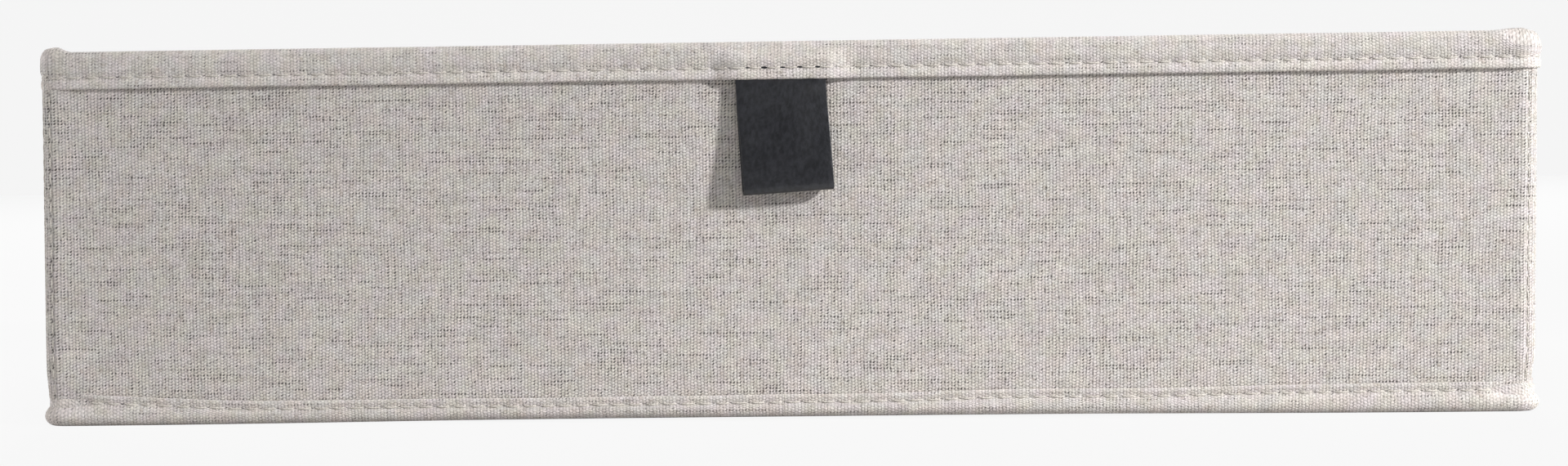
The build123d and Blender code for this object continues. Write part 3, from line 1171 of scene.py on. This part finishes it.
# %% [markdown]
# ## The loose floor board
#
# A thin board wrapped in lining cloth, its edges turned under and glued. It lies loose, so it
# doesn't lean with the walls and stays square.

# %% Wrapped board
insert_wrap_thickness = 0.45 * MM
insert_turn_in = 20 * MM
insert_edge = 1.1 * MM
insert_corner = 3 * MM


def box_flat(bm):
    """Lays each face's UV flat along the axis that it faces most, in metres."""
    flat = bm.loops.layers.uv.new("cloth")
    for face in bm.faces:
        normal = face.normal
        axis = max(range(3), key=lambda k: abs(normal[k]))
        kept = [k for k in range(3) if k != axis]
        for loop in face.loops:
            loop[flat].uv = (loop.vert.co[kept[0]], loop.vert.co[kept[1]])


def wrapped_board():
    """The cloth wrap: a rounded box, open below inside its turned-in edge."""
    size = insert_high - insert_low
    bm = block(size, (insert_low + insert_high) / 2)
    upright = [e for e in bm.edges if abs((e.verts[0].co - e.verts[1].co).z) > size.z / 2]
    round_edges(bm, upright, insert_corner, 6)
    level = [e for e in bm.edges if abs((e.verts[0].co - e.verts[1].co).z) < 1e-6]
    round_edges(bm, level, insert_edge, 4)
    under = min(bm.faces, key=lambda face: face.calc_center_median().z)
    bmesh.ops.inset_region(bm, faces=[under], thickness=insert_turn_in - insert_edge)
    under = min((f for f in bm.faces if abs(f.normal.z) > 0.99), key=lambda f: (
        round(f.calc_center_median().z, 6), -f.calc_area()))
    bmesh.ops.delete(bm, geom=[under], context="FACES")
    box_flat(bm)
    piece = make_piece(bm, "floor_board_wrap", lining_cloth, "floor_board", "lining_cloth",
                       "insert_wrap")
    thicken(piece, insert_wrap_thickness)
    spare = 2 * (insert_turn_in + size.z)
    size.x + spare
    size.y + spare


wrapped_board()
insert_board = frame["nodes"]["insert_board"]
insert_board.data.materials.clear()
insert_board.data.materials.append(greyboard)


# %% [markdown]
# ## The leather pull
#
# One strip of leather makes the pull. Both of its ends go up under the rim tape, where the same
# stitches hold them, and it hangs folded back on itself with a round fold at its foot. The strip
# is first a straight bar with its cut edges eased. Then each cross-section is carried to its place
# on the folded line.

# %% Pull sizes
leather_thickness = 1.1 * MM
loop_drop = hinge.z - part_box("pull_loop")[0].z - 0.4 * MM
fold_radius = 1.5 * MM
pull_lean = math.radians(3.4)
pull_skew = math.radians(3.4)
edge_ease = 0.22 * MM
layer_shift = 0.36 * MM  # how far the front layer hangs to the side of the back one
edge_curl = 0.5 * MM  # how far the side edges curl in at the foot
top_dimple = 0.5 * MM
bend_zone = 1.6 * MM  # above and below the hinge, a span that nothing here uses


def pull_line():
    """The strip's middle line as (outwards, down) points from the hinge, front end first."""
    tail = hinge.z - tail_top
    bend = loop_drop - fold_radius
    half = leather_thickness / 2 + 0.02 * MM
    belly = 2 * fold_radius - 2 * half
    heights = [tail + (bend - tail) * k / 30 for k in range(31)]
    line = [(half + belly * ease(down, 2 * MM, bend + 2 * MM), down) for down in heights]
    line += [
        (line[30][0] - fold_radius + fold_radius * math.cos(a), bend + fold_radius * math.sin(a))
        for a in (math.pi * k / 14 for k in range(1, 15))
    ]
    foot = line[-1][0]
    line += [(foot + (-half - foot) * ease(-down, -bend, -bend + 9 * MM), down)
             for down in reversed(heights[:-1])]
    return line


def bar_outline():
    """The strip's cross-section as (across, through) points, its corners eased."""
    reach, thick = strip_width / 2 - edge_ease, leather_thickness / 2 - edge_ease
    points = []
    for turn, (side_x, side_y) in enumerate(((1, 1), (-1, 1), (-1, -1), (1, -1))):
        for k in range(4):
            angle = math.radians(90 * turn + 30 * k)
            points.append((side_x * reach + edge_ease * math.cos(angle),
                           side_y * thick + edge_ease * math.sin(angle)))
        if side_x * side_y > 0:
            points += [(side_x * reach * (1 - 2 * k / 12), points[-1][1]) for k in range(1, 12)]
    return points


def hang_strip():
    """The strip, folded over, leaning off the wall and a little askew."""
    line, outline = pull_line(), bar_outline()
    bm = bmesh.new()
    rings = []
    for number, (out, down) in enumerate(line):
        before, after = line[max(number - 1, 0)], line[min(number + 1, len(line) - 1)]
        ahead = Vector((0, before[0] - after[0], before[1] - after[1])).normalized()
        through = Vector((1, 0, 0)).cross(ahead)
        centre = Vector((0, -out, -down))
        rings.append([bm.verts.new(centre + Vector((x, 0, 0)) + y * through) for x, y in outline])
    skin_rings(bm, rings)
    for ring, (out, down) in zip(rings, line):
        shift = layer_shift * math.tanh((out - fold_radius / 2) / (1 * MM))
        hang = ease(down, -3 * MM, 6 * MM)
        for vert in ring:
            across = vert.co.x / strip_width * 2
            vert.co.y += edge_curl * across ** 2 * ease(down, 0, loop_drop)
            vert.co.y -= top_dimple * dip(across, 0.72, 0.22) * dip(down, -1 * MM, 2.2 * MM)
            vert.co.y -= hang * math.tan(pull_lean) * max(down, 0)
            vert.co.z += hang * math.sin(pull_skew) * vert.co.x
            vert.co.x += math.sin(pull_skew) * down + shift * hang
            vert.co += hinge
    bmesh.ops.recalc_face_normals(bm, faces=bm.faces)
    piece = make_piece(bm, "leather_pull", leather, None, "pull_leather",
                       "pull_loop", "pull_tail")
    tuple(hinge + bend_zone * UP)
    tuple(hinge - bend_zone * UP)
    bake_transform(piece)
    length = sum(math.dist(a, b) for a, b in zip(line, line[1:]))


hang_strip()


# %% [markdown]
# ## Stage, light and camera
#
# The floor and backdrop are one pale sweep. What the camera sees of it glows a little by itself,
# so it reads as white paper without pouring more light on the cloth. The main light is a far beam
# from the right whose soft edge falls across the left end, so the front darkens to the upper left
# and the loop's shadow falls to the left. Three weak lights fill in the sides that turn from it.

# %% Stage
sweep_reach = 12
sweep_front, sweep_bend = -16, 2  # where the floor starts and where it curves up
sweep_radius = 1.5


def stage_material():
    """Pale paper that shows nearly white to the camera and still takes a shadow."""
    material, tree, shader = plain_material("paper_sweep", srgb(240, 240, 240), 1.0)
    feed(shader, {"Specular IOR Level": 0.0})
    glow = make_node(tree, "ShaderNodeEmission", {"Color": (0.955, 0.955, 0.955, 1)})
    seen, mirrored = (make_node(tree, "ShaderNodeLightPath", {}, ray)
                      for ray in ("Is Camera Ray", "Is Glossy Ray"))
    paper = Value(tree, shader.outputs[0])
    mixed = make_node(tree, "ShaderNodeMixShader",
                      {0: seen.math("MAXIMUM", mirrored) * 0.95, 1: paper, 2: glow})
    feed(tree.nodes["Material Output"], {"Surface": mixed})
    return material


def build_sweep():
    """A floor that curves up into a backdrop."""
    bm = bmesh.new()
    edge = [bm.verts.new((side * sweep_reach, sweep_front, 0)) for side in (-1, 1)]
    line = bm.edges.new(edge)
    bmesh.ops.extrude_edge_only(bm, edges=[line])
    bm.verts.ensure_lookup_table()
    bmesh.ops.translate(bm, vec=(0, sweep_bend - sweep_front, 0), verts=bm.verts[2:])
    far_edge = [e for e in bm.edges if all(v.co.y > sweep_bend - 0.1 for v in e.verts)]
    bmesh.ops.spin(bm, geom=far_edge, cent=(0, sweep_bend, sweep_radius), axis=(1, 0, 0),
                   angle=math.radians(90), steps=16, use_merge=True)
    smooth_object(bm, "paper_sweep", stage_material())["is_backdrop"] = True


build_sweep()


# %% Light
beam_angle = math.radians(9.4)
beam_edge = 0.45  # the share of the beam that fades
beam_source = 0.22  # the source's radius, which softens the shadows


def stand(name, data, place, turn):
    """Puts a lamp or a camera in the scene at a place, turned."""
    made = bpy.data.objects.new(name, data)
    made.location = place
    made.rotation_mode = "QUATERNION"
    made.rotation_quaternion = turn
    bpy.context.scene.collection.objects.link(made)
    return made


def look_at(place, aim):
    """The turn that makes something at a place look at a point."""
    return (Vector(aim) - Vector(place)).to_track_quat("-Z", "Y")


def soft_box(name, place, size, power):
    """A square soft light that looks at the object's middle."""
    data = bpy.data.lights.new(name, "AREA")
    data.size = size
    data.energy = power
    stand(name, data, place, look_at(place, (0, 0, 0.05)))


def soft_spot(name, place, aim, power):
    """A round light whose beam fades softly at its edge."""
    data = bpy.data.lights.new(name, "SPOT")
    data.energy = power
    data.spot_size = beam_angle
    data.spot_blend = beam_edge
    data.shadow_soft_size = beam_source
    stand(name, data, place, look_at(place, aim))


soft_spot("key_from_right", (4.35, -2.31, 2.10), (0.38, -0.17, 0.10), 1480)
soft_box("left_side_light", (-1.6, -0.05, 0.5), 0.8, 10)
soft_box("back_light", (0.0, 1.7, 0.9), 1.0, 24)
soft_box("top_light", (0.0, -0.9, 1.5), 0.8, 3)

# %% Sky
sky_light, sky_seen = 0.20, 0.93  # how bright it lights and how bright the camera sees it

world = bpy.data.worlds.new("studio")
bpy.context.scene.world = world
world.use_nodes = True
camera_ray = make_node(world.node_tree, "ShaderNodeLightPath", {}, "Is Camera Ray")
feed(world.node_tree.nodes["Background"],
     {"Color": (1, 1, 1, 1), "Strength": camera_ray.spread(0, 1, sky_light, sky_seen)})
bpy.context.scene.view_settings.view_transform = "Standard"

# %% Camera
camera_distance = 1.10
camera_turn = math.radians(2.9)
camera_height = 0.103
camera_roll = math.radians(-0.86)
frame_width = 457.4 * MM
aim_point = Vector((-0.4 * MM, -half_depth, 54.5 * MM))
sensor_width = 36


def build_camera():
    """The camera stands a little right of the middle, near the rim's height, and looks down."""
    data = bpy.data.cameras.new("camera")
    data.sensor_width = sensor_width
    data.lens = sensor_width * camera_distance / frame_width
    place = Vector((
        camera_distance * math.sin(camera_turn),
        -half_depth - camera_distance * math.cos(camera_turn),
        camera_height,
    ))
    look = look_at(place, aim_point).to_matrix().to_4x4()
    turn = (look @ Matrix.Rotation(camera_roll, 4, "Z")).to_quaternion()
    bpy.context.scene.camera = stand("camera", data, place, turn)


build_camera()

# %% Measure the sizes and finish
final_low, final_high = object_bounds()
({"cad": [list(cad_low), list(cad_high)],
           "visual": [list(final_low), list(final_high)]})
